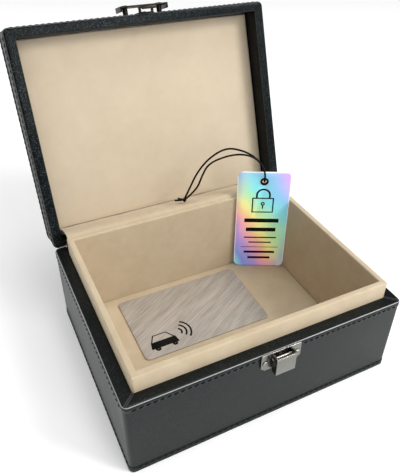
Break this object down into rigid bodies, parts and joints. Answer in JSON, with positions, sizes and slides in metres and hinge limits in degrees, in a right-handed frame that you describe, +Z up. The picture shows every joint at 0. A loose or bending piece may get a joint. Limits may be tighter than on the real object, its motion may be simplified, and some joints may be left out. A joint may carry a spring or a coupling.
{
  "type": "faraday key box",
  "caption": "Leather-covered faraday key box with a raised suede liner tray, hinged lid, push latch, flat insert card and a swing tag on a cord.",
  "frame": {"origin": "middle of the base's underside, on the surface that it stands on", "axes": "+Z up, -Y towards the front with the latch, +X to the right seen from the front"},
  "size_m": [0.165, 0.2019, 0.1807],
  "materials": {
    "board": "grey and tan pressed board, hidden under the coverings",
    "leathercloth": "black leathercloth with a fine cross-hatched grain",
    "suede": "beige short-pile microsuede",
    "shielding": "metallised shielding cloth",
    "foam": "soft white foam",
    "card_print": "taupe card with fine diagonal brushed streaks",
    "tag_print": "glossy card with a pale holographic film",
    "cord": "black round elastic cord",
    "steel": "plain drawn steel",
    "nickel": "satin nickel plated sheet"
  },
  "bodies": {
    "root": {"base_underside": "leathercloth", "base_floor_board": "board", "base_front_board": "board", "base_back_board": "board", "base_left_board": "board", "base_right_board": "board", "base_wrap": "leathercloth", "base_shield": "shielding", "liner_floor_board": "board", "liner_front_board": "board", "liner_back_board": "board", "liner_left_board": "board", "liner_right_board": "board", "liner_cover": "suede", "floor_pad": "suede", "inlay_card": "card_print", "latch_plate": "nickel", "latch_rivets": "nickel", "latch_guide": "steel", "latch_spring": "steel", "hinge_spine": "leathercloth", "hinge_gusset": "suede"},
    "lid": {"lid_top_board": "board", "lid_front_board": "board", "lid_back_board": "board", "lid_left_board": "board", "lid_right_board": "board", "lid_wrap": "leathercloth", "lid_shield": "shielding", "lid_foam": "foam", "lid_panel_board": "board", "lid_panel_cover": "suede", "catch_plate": "nickel", "catch_tongue": "nickel", "catch_rivets": "nickel"},
    "latch_button": {"latch_button": "nickel", "latch_bar": "steel"},
    "tag": {"hang_tag": "tag_print", "tag_eyelet": "nickel", "hang_cord": "cord", "cord_knot": "cord"}
  },
  "joints": [
    {"name": "lid_hinge", "type": "hinge", "parent": "root", "child": "lid", "pos_m": [0, 0.06445, 0.0532], "axis": [1, 0, 0], "range_deg": [0, 109.2], "deforming": ["hinge_spine", "hinge_gusset"]},
    {"name": "latch_push", "type": "slide", "parent": "root", "child": "latch_button", "axis": [0, 1, 0], "range_m": [0, 0.0012], "stiffness_N_per_m": 300, "springref_m": -0.001, "deforming": ["latch_spring"]},
    {"name": "tag_fold", "type": "hinge", "parent": "root", "child": "tag", "pos_m": [0.0387, 0.051, 0.00805], "axis": [0.8957, -0.4446, 0], "range_deg": [0, 78]}
  ],
  "couplings": [
    {"joint": "tag_fold", "follows": "lid_hinge", "ratio": 0.714}
  ]
}
